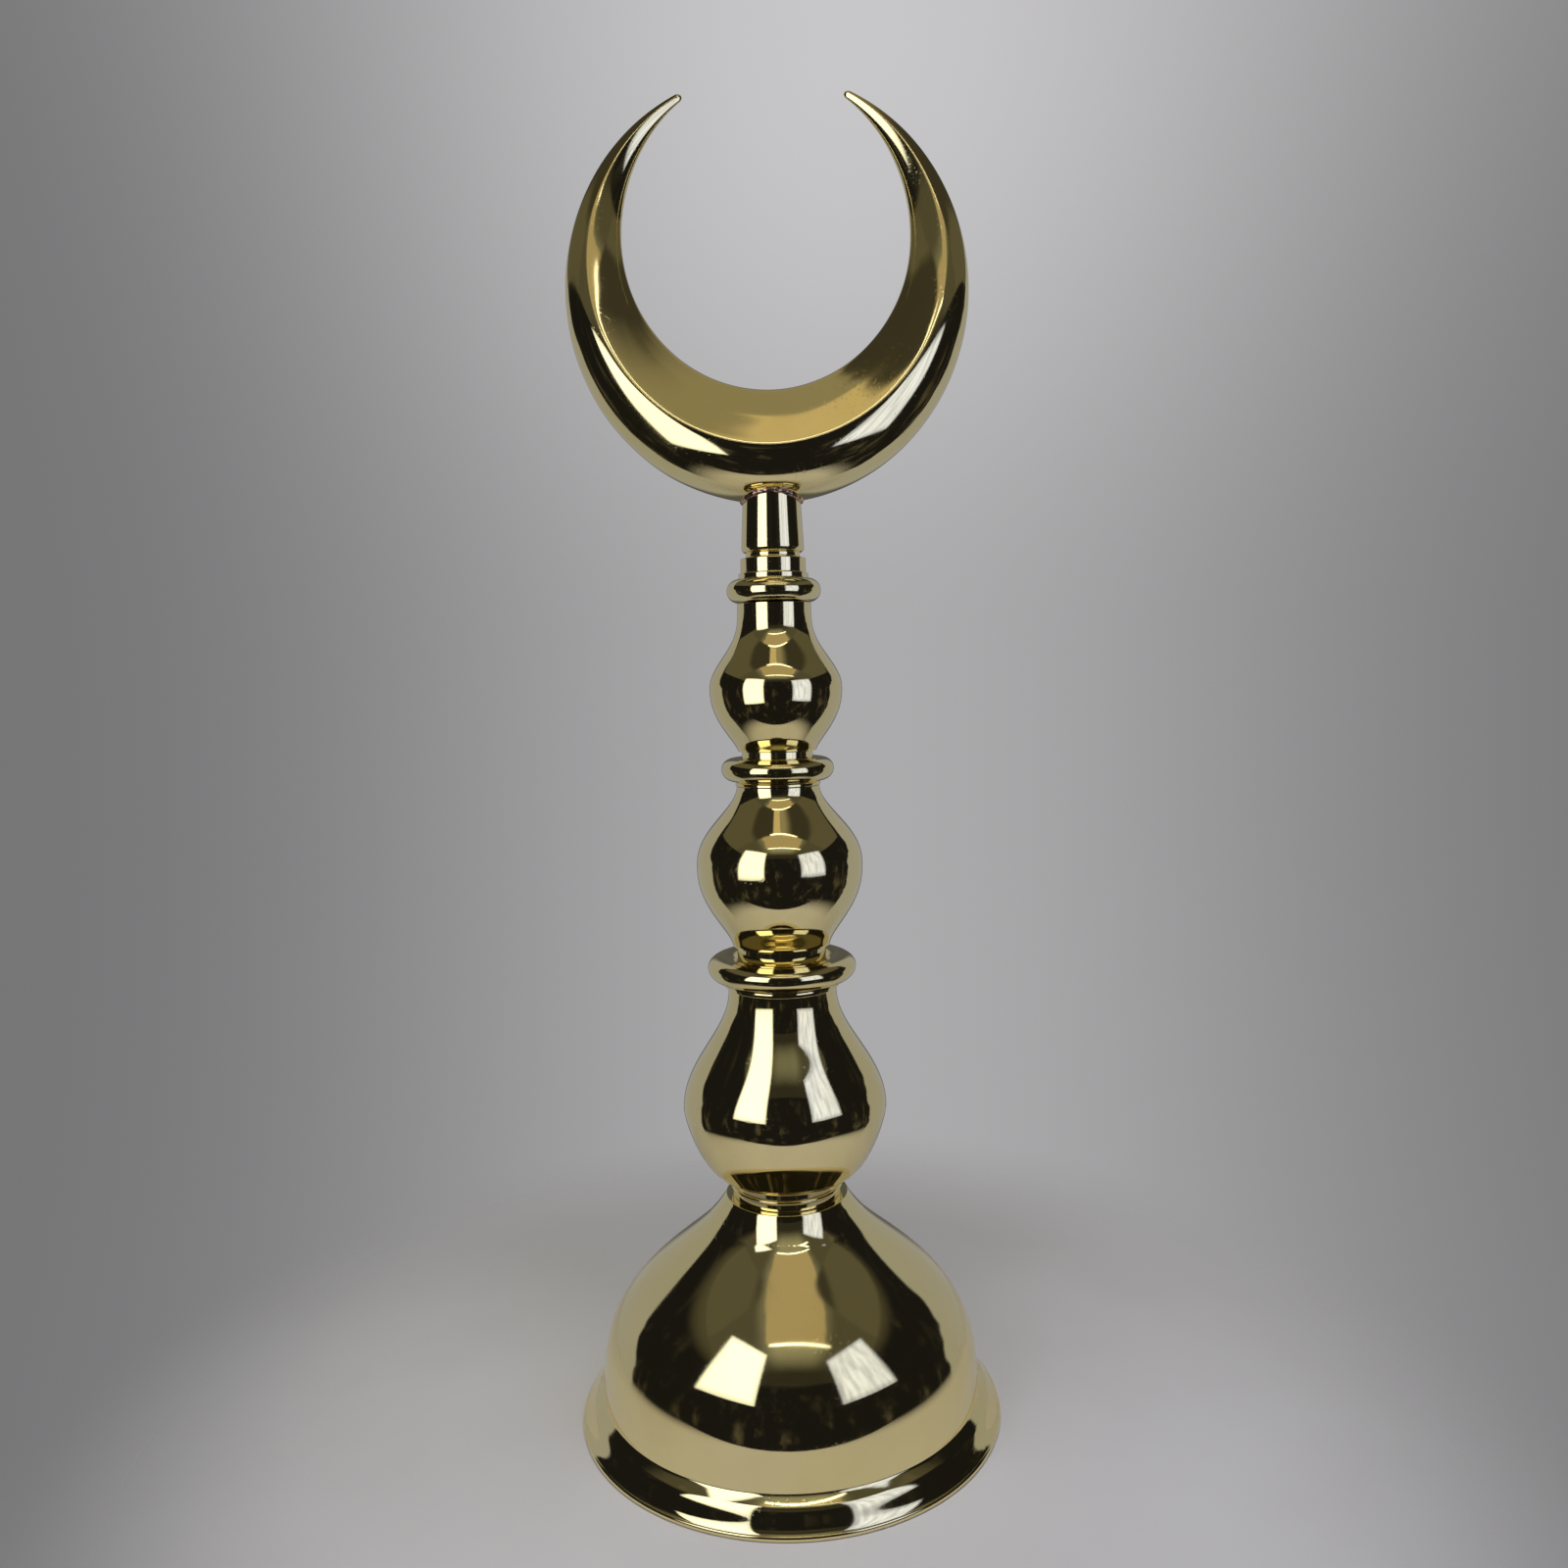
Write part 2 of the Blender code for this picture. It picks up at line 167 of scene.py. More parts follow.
# Rounded corners: least turn, reach, share of an edge, room that a supporting point asks for, and its place
CORNER_TURN = math.radians(22.0)
CORNER_REACH = 0.0006
CORNER_SHARE = 0.42
CORNER_STEPS = 5
SUPPORT_ROOM = 4.0
SUPPORT_PLACE = 1.6
TINY = 1e-9

# Uneven polish: how far a turned wall and the crescent stray, and the span of one swell
TURNED_STRAY = 0.00003
TURNED_SPAN = 0.030
CRESCENT_STRAY = 0.00019
CRESCENT_SPAN = 0.034
SWELL_START = Vector((3.1, 7.7, 1.9))

# Bead of braze: size, place off the tube, flatness, and its swells' start, fineness and share
SOLDER_SIZE = 0.0020
SOLDER_OFFSET = 0.0002
SOLDER_FLATNESS = 0.85
SOLDER_UNEVEN = 0.55
SOLDER_SWELLS = ((Vector((0.0, 0.0, 0.0)), 3.1, 0.45), (Vector((5.0, 0.0, 0.0)), 9.0, 0.40))
SOLDER_SIDES = 180
SOLDER_COLUMNS = 12

# Colours of clean and tarnished brass, and of the braze and its heat stains
BRASS_PALE = (0.925, 0.800, 0.430, 1.0)
BRASS_DEEP = (0.900, 0.765, 0.380, 1.0)
BRASS_TARNISH = (0.62, 0.45, 0.20, 1.0)
BRAZE = (0.80, 0.62, 0.36, 1.0)
BRAZE_PINK = (0.42, 0.20, 0.17, 1.0)
BRAZE_DARK = (0.10, 0.07, 0.08, 1.0)

# Buff lines, fine and broad: noise (scale, detail, roughness), drift in two ways round the work, and share
BUFF_LINES = (((950.0, 2.0, 0.6), 0.004, 3.0, 0.6), ((190.0, 2.0, 0.5), 0.012, 1.5, 0.4))

# Scratches: turn and scale of each of three ways, then their stretch, grain and band
SCRATCH_WAYS = (((0.2, 0.7, 0.3), 420.0), ((1.1, -0.4, 0.9), 423.0), ((-0.5, 0.2, 1.8), 427.0))
SCRATCH_STRETCH = (1.0, 0.035, 1.0)
SCRATCH_GRAIN = (1.0, 0.4)
SCRATCH_BAND = (0.69, 0.74)

# Marks: noise (scale, detail, roughness) and the band of it that shows
SCRATCH_PATCHES = ((26.0, 2.0, 0.5), (0.50, 0.62))
HAZE = ((17.0, 4.0, 0.62), (0.46, 0.72))
WIPES = ((46.0, 3.0, 0.6), (0.48, 0.70))
BRASS_TONE = ((11.0, 3.0, 0.55), (0.35, 0.65))
SPOTS = ((330.0, 2.0, 0.5), (0.70, 0.76))
SPOT_PATCHES = ((34.0, 1.0, 0.5), (0.52, 0.62))
BRAZE_PATCHES = ((140.0, 3.0, 0.6), (0.40, 0.60))
BRAZE_STAINS = ((260.0, 2.0, 0.6), (0.48, 0.60))
FLOOR_TONE = ((5.0, 3.0, 0.5), (0.3, 0.7))
PANEL_FOLDS = ((26.0, 3.0, 0.6), (0.35, 0.65))
ROOM_CLUTTER = ((6.5, 4.0, 0.65), (0.52, 0.74))
BRAZE_GRAIN = (420.0, 3.0, 0.6)
FLOOR_RISES = (7.0, 2.0, 0.5)
CLOTH_SWELLS = (4.0, 2.0, 0.5)
CEILING_WOBBLE = (5.0, 2.0, 0.5)

# Last wipes of the polishing cloth: turn and stretch, and the shares of haze and wipes in a smudge
WIPE_WAY = ((0.4, 0.3, 0.2), (1.0, 1.0, 0.35))
HAZE_SHARE = 0.65
WIPE_SHARE = 0.35

# What each mark does: tarnish, roughness and depth, and the least roughness and reach from the axis
SPOT_TARNISH = 0.45
SMUDGE_TARNISH = 0.10
SMUDGE_ROUGHNESS = 0.075
BUFF_ROUGHNESS = 0.06
SCRATCH_ROUGHNESS = 0.10
LEAST_ROUGHNESS = 0.02
LEAST_REACH = 0.001
MARK_DEPTH = 0.05
BRAZE_ROUGHNESS = 0.22
STAIN_ROUGHNESS = 0.25

# Bumps: strength and distance
BRASS_BUMP = (0.35, 0.0004)
BRAZE_BUMP = (0.6, 0.0004)
FLOOR_BUMP = (0.4, 0.01)

# Finish of each piece: roughness, buff lines, scratches and smudges
FINISHES = {
    "base_bell": (0.035, 0.7, 1.0, 0.8),
    "base_collar": (0.045, 0.8, 0.6, 0.8),
    "bulb": (0.032, 0.7, 0.8, 0.7),
    "collar": (0.045, 0.8, 0.6, 0.7),
    "neck_socket": (0.045, 0.8, 0.6, 0.7),
    "crescent": (0.05, 0.6, 1.6, 1.3),
}

# Pale cloth on the floor: colours, half its size, where its reflection starts in front, and its fading edge
FLOOR_COOL = (0.76, 0.735, 0.72, 1.0)
FLOOR_WARM = (0.80, 0.78, 0.765, 1.0)
FLOOR_ROUGHNESS = 0.9
FLOOR_SPECULAR = 0.1
FLOOR_HALF = 1.6
CLOTH_FRONT = -0.30
FLOOR_FADE = (0.28, 0.55)

# Cloth behind the object, as the brass reflects it: edge angle from the front, lean with height, and wave
CLOTH_EDGE = math.radians(107.0)
CLOTH_LEAN = math.radians(42.0)
CLOTH_WAVE = math.radians(14.0)
CLOTH_SOFTNESS = 0.012
CLOTH_GAP = (math.radians(158.0), math.radians(168.0))
CLOTH_GAP_SHARE = 0.75
CLOTH_COLOUR = (0.335, 0.342, 0.358, 1.0)

# Dark room in front, the small things low in it, and where what is above starts
ROOM_DARK = (0.010, 0.010, 0.011, 1.0)
ROOM_THINGS = (0.085, 0.074, 0.056, 1.0)
ROOM_ABOVE = (0.075, 0.070, 0.050, 1.0)
ROOM_TOP = (0.60, 0.72)
CLUTTER_STRETCH = (1.0, 1.0, 0.30)
CLUTTER_LOW = (0.40, -0.20)
CLUTTER_LEAST = 0.25

# Backdrop that the camera sees: brightness at the sides, and in the middle from low to high
BACKDROP_MIDDLE_X = 0.06
BACKDROP_WIDTH = 0.60
BACKDROP_RISE = (0.02, 0.44)
BACKDROP_SIDE = 0.185
BACKDROP_MIDDLE = (0.410, 0.575)
BACKDROP_BEHIND = 0.33
BACKDROP_TURN = (0.1, -0.3)
BACKDROP_TINT = (1.0, 0.985, 1.005)

# Ceiling and its patches between and behind the lamps: x0, y0, x1, y1, and the ceiling's height
CEILING = (-1.0, -1.30, 1.1, 0.55, 1.12)
CEILING_WARM = (-0.26, -0.61, 0.38, -0.31)
CEILING_TAN = (-0.08, -0.29, 0.02, -0.11)
OLIVE_DARK = (0.080, 0.077, 0.058, 1.0)
OLIVE_PALE = (0.300, 0.300, 0.235, 1.0)
OLIVE_FAR = (0.030, 0.028, 0.022, 1.0)
WARM_COLOUR = (0.400, 0.335, 0.215, 1.0)
BACK_DARK = (0.042, 0.039, 0.030, 1.0)
BACK_PALE = (0.270, 0.245, 0.170, 1.0)
BACK_SIDE = (0.100, 0.094, 0.068, 1.0)
TAN_COLOUR = (0.560, 0.465, 0.275, 1.0)

# Edges on the ceiling: where each fades from and to, and how far the wobble moves them
CEILING_MIDDLE_X = 0.05
OLIVE_SIDE = (0.46, 0.16)
OLIVE_END = (-0.62, -1.05)
BACK_RIGHT = (0.24, 0.07)
BACK_LEFT = (-0.092, -0.078)
BACK_ENDS = (0.38, 0.50)
BACK_START = (-0.325, -0.295)
WARM_SOFTNESS = 0.012
TAN_SOFTNESS = 0.008
WOBBLE_REACH = 0.10
WOBBLE_DEPTH = 0.4

# Glowing panels: name, centre, width, height, point faced, strength, colour, and how streaky
PANELS = (
    ("softbox_left", (-0.370, -0.474, 0.59), 0.39, 0.63, (0.0, 0.0, 0.59), 1.75, (0.96, 1.0, 1.10), 0.0),
    ("softbox_right", (0.497, -0.492, 0.58), 0.43, 0.60, (0.0, 0.0, 0.58), 1.15, (0.88, 1.0, 1.60), 0.40),
    ("tube_front", (0.11, -0.61, 1.10), 0.68, 0.022, (0.11, -0.2, 0.3), 3.0, (1.0, 1.0, 0.95), 0.0),
    ("tube_back", (0.07, -0.29, 1.08), 0.40, 0.018, (0.07, -0.1, 0.3), 2.4, (1.0, 0.97, 0.88), 0.0),
)
PANEL_EDGE = (0.985, 0.80)
PANEL_RIM = 0.62
FOLD_STRETCH = 0.12

# Soft light from above: place, size, power and the point that it faces
TOP_PLACE = (0.05, -0.20, 1.20)
TOP_SIZE = (0.6, 0.6)
TOP_POWER = 5.4
TOP_AIM = (0.0, 0.0, 0.1)

# Camera, taken from a fit to the photograph's rim, rings and seams
PICTURE_SIDE = 1600
FOCAL_PIXELS = 1260.0
SENSOR_WIDTH = 36.0
CAMERA_PLACE = Vector((0.0042, -0.857, 0.529))
CAMERA_PITCH = math.radians(5.2)
CAMERA_ROLL = math.radians(1.25)
CLIP_START = 0.01


def low_z(node):
    """Lowest height of a node of the frame."""
    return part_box(node)[0][2]


def arc(radius, z, out, up, start, end, steps):
    """Points of an elliptical arc about (radius, z), angles in degrees from straight out."""
    points = []
    for i in range(steps + 1):
        angle = math.radians(start + (end - start) * i / steps)
        points.append((radius + out * math.cos(angle), z + up * math.sin(angle)))
    return points


def flank(mid_radius, end_radius, mid_z, end_z, power, tail, steps):
    """Points of a swelling surface from its widest row out to its end row."""
    points = []
    for i in range(steps + 1):
        u = math.sin(0.5 * math.pi * i / steps) ** ROW_POWER
        swell = (1.0 - u ** power) ** tail
        points.append((end_radius + (mid_radius - end_radius) * swell, mid_z + (end_z - mid_z) * u))
    return points


def bend(start, middle, end, t):
    """Point of a curve that leaves a start towards a middle point and comes from there into an end."""
    return tuple(Vector(start).lerp(Vector(middle), t).lerp(Vector(middle).lerp(Vector(end), t), t))


def soften(points):
    """Rounds the corners of an outline and puts a supporting point on each side of them."""
    rounded = [points[0]]
    for before, corner, after in zip(points, points[1:], points[2:]):
        a = Vector(before) - Vector(corner)
        b = Vector(after) - Vector(corner)
        turn = math.pi - a.angle(b) if a.length > TINY and b.length > TINY else 0.0
        if turn < CORNER_TURN:
            rounded.append(corner)
            continue
        cut_a = min(CORNER_REACH, CORNER_SHARE * a.length)
        cut_b = min(CORNER_REACH, CORNER_SHARE * b.length)
        start = Vector(corner) + a.normalized() * cut_a
        end = Vector(corner) + b.normalized() * cut_b
        if a.length > SUPPORT_ROOM * cut_a:
            rounded.append(tuple(Vector(corner) + a.normalized() * cut_a * SUPPORT_PLACE))
        for i in range(CORNER_STEPS + 1):
            t = i / CORNER_STEPS
            rounded.append(bend(start, corner, end, t))
        if b.length > SUPPORT_ROOM * cut_b:
            rounded.append(tuple(Vector(corner) + b.normalized() * cut_b * SUPPORT_PLACE))
    rounded.append(points[-1])
    return rounded


def turned_mesh(outline, sides):
    """Closed bmesh turned from (radius, z) points. The first and last points lie on the axis."""
    bm = bmesh.new()
    rings = []
    for radius, z in outline:
        if radius < TINY:
            rings.append([bm.verts.new((0.0, 0.0, z))])
            continue
        ring = []
        for i in range(sides):
            angle = 2.0 * math.pi * i / sides
            ring.append(bm.verts.new((radius * math.cos(angle), radius * math.sin(angle), z)))
        rings.append(ring)
    for low, high in zip(rings, rings[1:]):
        for i in range(sides):
            j = (i + 1) % sides
            if len(low) == 1:
                bm.faces.new((low[0], high[j], high[i]))
            elif len(high) == 1:
                bm.faces.new((low[i], low[j], high[0]))
            else:
                bm.faces.new((low[i], low[j], high[j], high[i]))
    return bm


def stray(bm, distance, span):
    """Moves each vertex a hair along its normal, as uneven polishing does."""
    bm.normal_update()
    moves = [v.normal * noise.noise(v.co / span + SWELL_START) * distance for v in bm.verts]
    for v, move in zip(bm.verts, moves):
        v.co += move


def new_object(name, data):
    """Object of the scene that holds a mesh, a lamp or a camera."""
    obj = bpy.data.objects.new(name, data)
    bpy.context.scene.collection.objects.link(obj)
    return obj


def piece(name, bm, material):
    """Names a finished bmesh as a shown piece that rides on the root body."""
    bmesh.ops.recalc_face_normals(bm, faces=bm.faces)
    mesh = bpy.data.meshes.new(name)
    bm.to_mesh(mesh)
    bm.free()
    for face in mesh.polygons:
        face.use_smooth = True
    mesh.materials.append(material)
    obj = new_object(name, mesh)
    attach(obj, "root")
    return obj


def turned(name, outline, sides, material):
    """Turned piece that stands for the frame's node of the same name."""
    bm = turned_mesh(soften(outline), sides)
    stray(bm, TURNED_STRAY, TURNED_SPAN)
    obj = piece(name + "_polished", bm, material)
    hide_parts(name)


class Nodes:
    """Small helper that adds shader nodes and links them."""

    def __init__(self, tree):
        self.tree = tree

    def add(self, kind, **values):
        node = self.tree.nodes.new(kind)
        for key, value in values.items():
            setattr(node, key, value)
        return node

    def put(self, socket, value):
        if isinstance(value, bpy.types.NodeSocket):
            self.tree.links.new(value, socket)
        else:
            socket.default_value = value

    def math(self, operation, a, b=0.0):
        node = self.add("ShaderNodeMath", operation=operation)
        for socket, value in zip(node.inputs, (a, b)):
            self.put(socket, value)
        return node.outputs[0]

    def span(self, value, low, high, out_low=0.0, out_high=1.0):
        """Smooth step of a value from low to high."""
        node = self.add("ShaderNodeMapRange", interpolation_type="SMOOTHSTEP")
        for socket, item in zip(node.inputs, (value, low, high, out_low, out_high)):
            self.put(socket, item)
        return node.outputs[0]

    def mix(self, factor, a, b):
        """Mix of two colours, which are the mix node's inputs 6 and 7 and its output 2."""
        node = self.add("ShaderNodeMix", data_type="RGBA")
        self.put(node.inputs[0], factor)
        self.put(node.inputs[6], a)
        self.put(node.inputs[7], b)
        return node.outputs[2]

    def xyz(self, x, y, z):
        node = self.add("ShaderNodeCombineXYZ")
        for socket, value in zip(node.inputs, (x, y, z)):
            self.put(socket, value)
        return node.outputs[0]

    def noise(self, vector, scale, detail, roughness, w=None):
        node = self.add("ShaderNodeTexNoise", noise_dimensions="4D" if w is not None else "3D")
        self.put(node.inputs["Vector"], vector)
        if w is not None:
            self.put(node.inputs["W"], w)
        self.put(node.inputs["Scale"], scale)
        self.put(node.inputs["Detail"], detail)
        self.put(node.inputs["Roughness"], roughness)
        return node.outputs["Fac"]

    def marks(self, vector, kind, band, *outs):
        """Noise of a kind, kept where it lies in a band."""
        return self.span(self.noise(vector, *kind), *band, *outs)

    def bump(self, shader, height, strength, distance):
        """Bends a shader's normal by a height."""
        node = self.add("ShaderNodeBump")
        self.put(node.inputs["Strength"], strength)
        self.put(node.inputs["Distance"], distance)
        self.put(node.inputs["Height"], height)
        self.put(shader.inputs["Normal"], node.outputs[0])

    def split(self, vector):
        """X, Y and Z of a vector."""
        node = self.add("ShaderNodeSeparateXYZ")
        self.put(node.inputs[0], vector)
        return node.outputs

    def stretch(self, vector, turn, scale):
        """Coordinates turned and stretched, for marks that run one way."""
        node = self.add("ShaderNodeMapping")
        self.put(node.inputs["Vector"], vector)
        self.put(node.inputs["Rotation"], turn)
        self.put(node.inputs["Scale"], scale)
        return node.outputs[0]


def spin_coordinates(n, position, centre_z=None):
    """Radius, height and place round the axis. With a centre height, the axis lies along Y."""
    x, y, z = n.split(position)
    across, along = (y, z)
    if centre_z is not None:
        across, along = (n.math("SUBTRACT", z, centre_z), y)
    radius = n.math("SQRT", n.math("ADD", n.math("MULTIPLY", x, x), n.math("MULTIPLY", across, across)))
    reach = n.math("MAXIMUM", radius, LEAST_REACH)
    return radius, along, n.math("DIVIDE", x, reach), n.math("DIVIDE", across, reach)


def new_material(name):
    """Material with its node helper, its main shader and its object coordinates."""
    mat = bpy.data.materials.new(name)
    mat.use_nodes = True
    n = Nodes(mat.node_tree)
    return mat, n, mat.node_tree.nodes["Principled BSDF"], n.add("ShaderNodeTexCoord").outputs["Object"]


def brass(name, polish, lines, marks, smudges, centre_z=None):
    """Polished brass: buff lines round the work, fine scratches, duller smudges and uneven tone."""
    mat, n, shader, position = new_material(name)
    radius, along, round_a, round_b = spin_coordinates(n, position, centre_z)

    # Buff lines follow the turning, so they vary fast across it and slowly round it
    rows = []
    for kind, drift_a, drift_b, share in BUFF_LINES:
        place = n.xyz(radius, along, n.math("MULTIPLY", round_a, drift_a))
        row = n.noise(place, *kind, n.math("MULTIPLY", round_b, drift_b))
        rows.append(n.math("MULTIPLY", row, share))
    buff = n.math("ADD", *rows)

    # Stray scratches run three ways and are few
    scratch = None
    for turn, scale in SCRATCH_WAYS:
        line = n.marks(n.stretch(position, turn, SCRATCH_STRETCH), (scale, *SCRATCH_GRAIN), SCRATCH_BAND)
        scratch = line if scratch is None else n.math("MAXIMUM", scratch, line)
    scratch = n.math("MULTIPLY", scratch, n.marks(position, *SCRATCH_PATCHES))

    # Hazy smudges and the cloth's last wipes
    haze = n.marks(position, *HAZE)
    wipe = n.marks(n.stretch(position, *WIPE_WAY), *WIPES)
    dull = n.math("ADD", n.math("MULTIPLY", haze, HAZE_SHARE), n.math("MULTIPLY", wipe, WIPE_SHARE))

    clean = n.mix(n.marks(position, *BRASS_TONE), BRASS_PALE, BRASS_DEEP)
    spots = n.math("MULTIPLY", n.marks(position, *SPOTS), n.marks(position, *SPOT_PATCHES))
    tarnish = n.math("MULTIPLY", dull, SMUDGE_TARNISH * smudges)
    tarnish = n.math("ADD", n.math("MULTIPLY", spots, SPOT_TARNISH), tarnish)
    n.put(shader.inputs["Base Color"], n.mix(tarnish, clean, BRASS_TARNISH))

    rough = n.math("ADD", polish, n.math("MULTIPLY", dull, SMUDGE_ROUGHNESS * smudges))
    uneven = n.math("MULTIPLY", n.math("SUBTRACT", buff, 0.5), BUFF_ROUGHNESS * lines)
    rough = n.math("ADD", n.math("ADD", rough, uneven), n.math("MULTIPLY", scratch, SCRATCH_ROUGHNESS))
    n.put(shader.inputs["Roughness"], n.math("MAXIMUM", rough, LEAST_ROUGHNESS))

    cut = n.math("MULTIPLY", scratch, -MARK_DEPTH * marks)
    n.bump(shader, n.math("ADD", n.math("MULTIPLY", buff, MARK_DEPTH * lines), cut), *BRASS_BUMP)
    n.put(shader.inputs["Metallic"], 1.0)
    return mat


def bell_outline():
    """Rolled bead, curved flange, step, dome and hollow crown outside, and the plain sheet inside."""
    bead_centre = RIM_RADIUS - BEAD_RADIUS
    land_angle = math.degrees(math.asin(0.5 * RIM_LAND / BEAD_RADIUS))
    z = BEAD_RADIUS * math.cos(math.radians(land_angle))
    bead = arc(bead_centre, z, BEAD_RADIUS, BEAD_RADIUS, -90.0 + land_angle, BEAD_END_ANGLE, BEAD_STEPS)
    meet = math.radians(BEAD_MEET_ANGLE)
    foot_radius = bead_centre + BEAD_RADIUS * math.cos(meet) - BEAD_MEET_DEPTH
    foot_z = z + BEAD_RADIUS * math.sin(meet) + SEAT_GAP
    run = foot_radius - WALL_RADIUS - STEP_DEPTH - LEDGE
    flange = []
    for i in range(FLANGE_STEPS + 1):
        t = i / FLANGE_STEPS
        rise = (1.0 - FLANGE_SWEEP) * t + FLANGE_SWEEP * (3.0 * t * t - 2.0 * t * t * t)
        flange.append((foot_radius - run * t, foot_z + FLANGE_RISE * rise))
    step = [(WALL_RADIUS + STEP_DEPTH, WALL_FOOT_Z - STEP_DEPTH), (WALL_RADIUS, WALL_FOOT_Z)]
    roof = BELL_HEIGHT - 2.0 * SHEET
    shoulder = (SHOULDER_POWER, SHOULDER_TAIL)
    dome = flank(WALL_RADIUS, CROWN_NECK_RADIUS, WALL_FOOT_Z, roof, *shoulder, DOME_STEPS)
    dome = [point for point in dome if point[1] < CROWN_CURVE_Z]
    edge = (CROWN_EDGE_RADIUS, BELL_HEIGHT)
    crown = [bend(dome[-1], CROWN_CURVE_MIDDLE, edge, i / CROWN_STEPS) for i in range(1, CROWN_STEPS + 1)]
    crown.append((0.0, BELL_HEIGHT))
    outside = bead + flange + step + dome[1:] + crown
    inner_dome = flank(WALL_RADIUS, CROWN_NECK_RADIUS, WALL_FOOT_Z, roof - SHEET, *shoulder, INSIDE_STEPS)
    inner_wall = [(r - SHEET, z) for r, z in inner_dome if z < CROWN_CURVE_Z - SHEET]
    inside = [
        (bead_centre - 0.5 * RIM_LAND, 0.0),
        (bead_centre - BEAD_RADIUS, BEAD_RADIUS),
    ]
    under_in, under_down = FLANGE_UNDER
    inside += [(r - under_in * SHEET, z - under_down * SHEET) for r, z in flange[FLANGE_UNDER_ROW:]]
    inside += [(WALL_RADIUS - SHEET, WALL_FOOT_Z - SHEET)] + inner_wall
    inside += [(CROWN_RADIUS - 2.0 * SHEET, roof), (0.0, roof)]
    return outside[::-1] + inside


def base_collar_outline():
    """Band, small ring and upper band under the largest bulb."""
    at = low_z("base_collar")
    z = at + BASE_RING_Z
    outline = [(0.0, at), (BASE_BAND_RADIUS, at), (BASE_BAND_RADIUS, z - BASE_RING_HALF)]
    middle = BASE_RING_RADIUS - BASE_RING_HALF
    outline += arc(middle, z, BASE_RING_HALF, BASE_RING_HALF, -90.0, 90.0, BASE_RING_STEPS)
    top = at + BASE_COLLAR_HEIGHT
    outline += [(BASE_UPPER_RADIUS, z + BASE_RING_HALF), (BASE_UPPER_RADIUS, top), (0.0, top)]
    return outline


def bulb_outline(node):
    """Bulb from its foot over the belly to its neck, with a socket over an upstand beneath."""
    height, foot, belly, neck, belly_z, under, over, upstand = BULBS[node]
    at = low_z(node)
    lower = flank(belly, foot, at + belly_z, at, *under, BULB_STEPS[0])
    upper = flank(belly, neck, at + belly_z, at + height, *over, BULB_STEPS[1])
    outline = [(0.0, at)]
    if upstand:
        roof = at + UPSTAND_SEAT
        bore = upstand + SEAT_GAP
        outline = [(0.0, roof), (bore, roof), (bore, at)]
    outline += lower[::-1] + upper[1:]
    outline.append((0.0, at + height))
    return outline


def collar_outline(node):
    """Collar with a lip, a half-round ring and an upstand that runs on into the bulb above."""
    height, lip, lip_height, ring, out, up, down, ring_z, upstand = COLLARS[node]
    at = low_z(node)
    centre = ring - out
    under = math.degrees(math.acos((lip - LIP_INSET - centre) / out))
    over = math.degrees(math.acos((upstand - centre) / out))
    outline = [(0.0, at), (lip, at), (lip, at + lip_height)]
    outline += arc(centre, at + ring_z, out, down, -under, 0.0, COLLAR_STEPS[0])
    outline += arc(centre, at + ring_z, out, up, 0.0, over, COLLAR_STEPS[1])[1:]
    top = at + height + UPSTAND_SEAT - SEAT_GAP
    outline += [(upstand, top), (0.0, top)]
    return outline


def neck_mesh(crescent_tree):
    """Turned socket whose tube runs up to the crescent's underside, column by column."""
    at = low_z("neck_socket")
    z = at + NECK_RING_Z
    centre = NECK_RING_RADIUS - NECK_RING_HALF
    half = NECK_RING_HALF
    outline = [(0.0, at)]
    outline += arc(centre, z, half, half, -NECK_RING_ANGLE, NECK_RING_ANGLE, NECK_RING_STEPS)
    outline += [
        (NECK_STEP_RADIUS, z + NECK_RING_HALF),
        (NECK_STEP_RADIUS, at + NECK_STEP_TOP),
        (NECK_BAND_RADIUS, at + NECK_STEP_TOP),
        (NECK_BAND_RADIUS, at + NECK_BAND_TOP),
        (NECK_GROOVE_RADIUS, at + NECK_BAND_TOP + GROOVE_BEVEL),
        (NECK_GROOVE_RADIUS, at + NECK_GROOVE_TOP - GROOVE_BEVEL),
        (NECK_TUBE_FOOT - GROOVE_BEVEL, at + NECK_GROOVE_TOP),
        (NECK_TUBE_FOOT, at + NECK_GROOVE_TOP + 2.0 * GROOVE_BEVEL),
    ]
    tube_foot = at + NECK_GROOVE_TOP + 2.0 * GROOVE_BEVEL + TUBE_LAND
    outline = soften(outline + [(NECK_TUBE_FOOT, tube_foot)])
    top = at + CRESCENT_BOTTOM
    for i in range(1, TUBE_ROWS + 1):
        t = i / TUBE_ROWS
        radius = NECK_TUBE_FOOT + (NECK_TUBE_TOP - NECK_TUBE_FOOT) * t
        outline.append((radius, tube_foot + (top - tube_foot) * t))
    for i in range(1, SADDLE_RINGS + 1):
        outline.append((NECK_TUBE_TOP * (1.0 - i / SADDLE_RINGS), top))
    bm = turned_mesh(outline, TURNED_SIDES)
    for v in bm.verts:
        if v.co.z <= tube_foot + LEVEL_SLACK:
            continue
        share = (v.co.z - tube_foot) / (top - tube_foot)
        start = Vector((v.co.x, v.co.y, tube_foot - TUBE_LAND))
        hit = crescent_tree.ray_cast(start, Vector((0.0, 0.0, 1.0)))[0]
        saddle = hit.z - SEAT_GAP - top
        v.co.z += saddle * share
    return bm


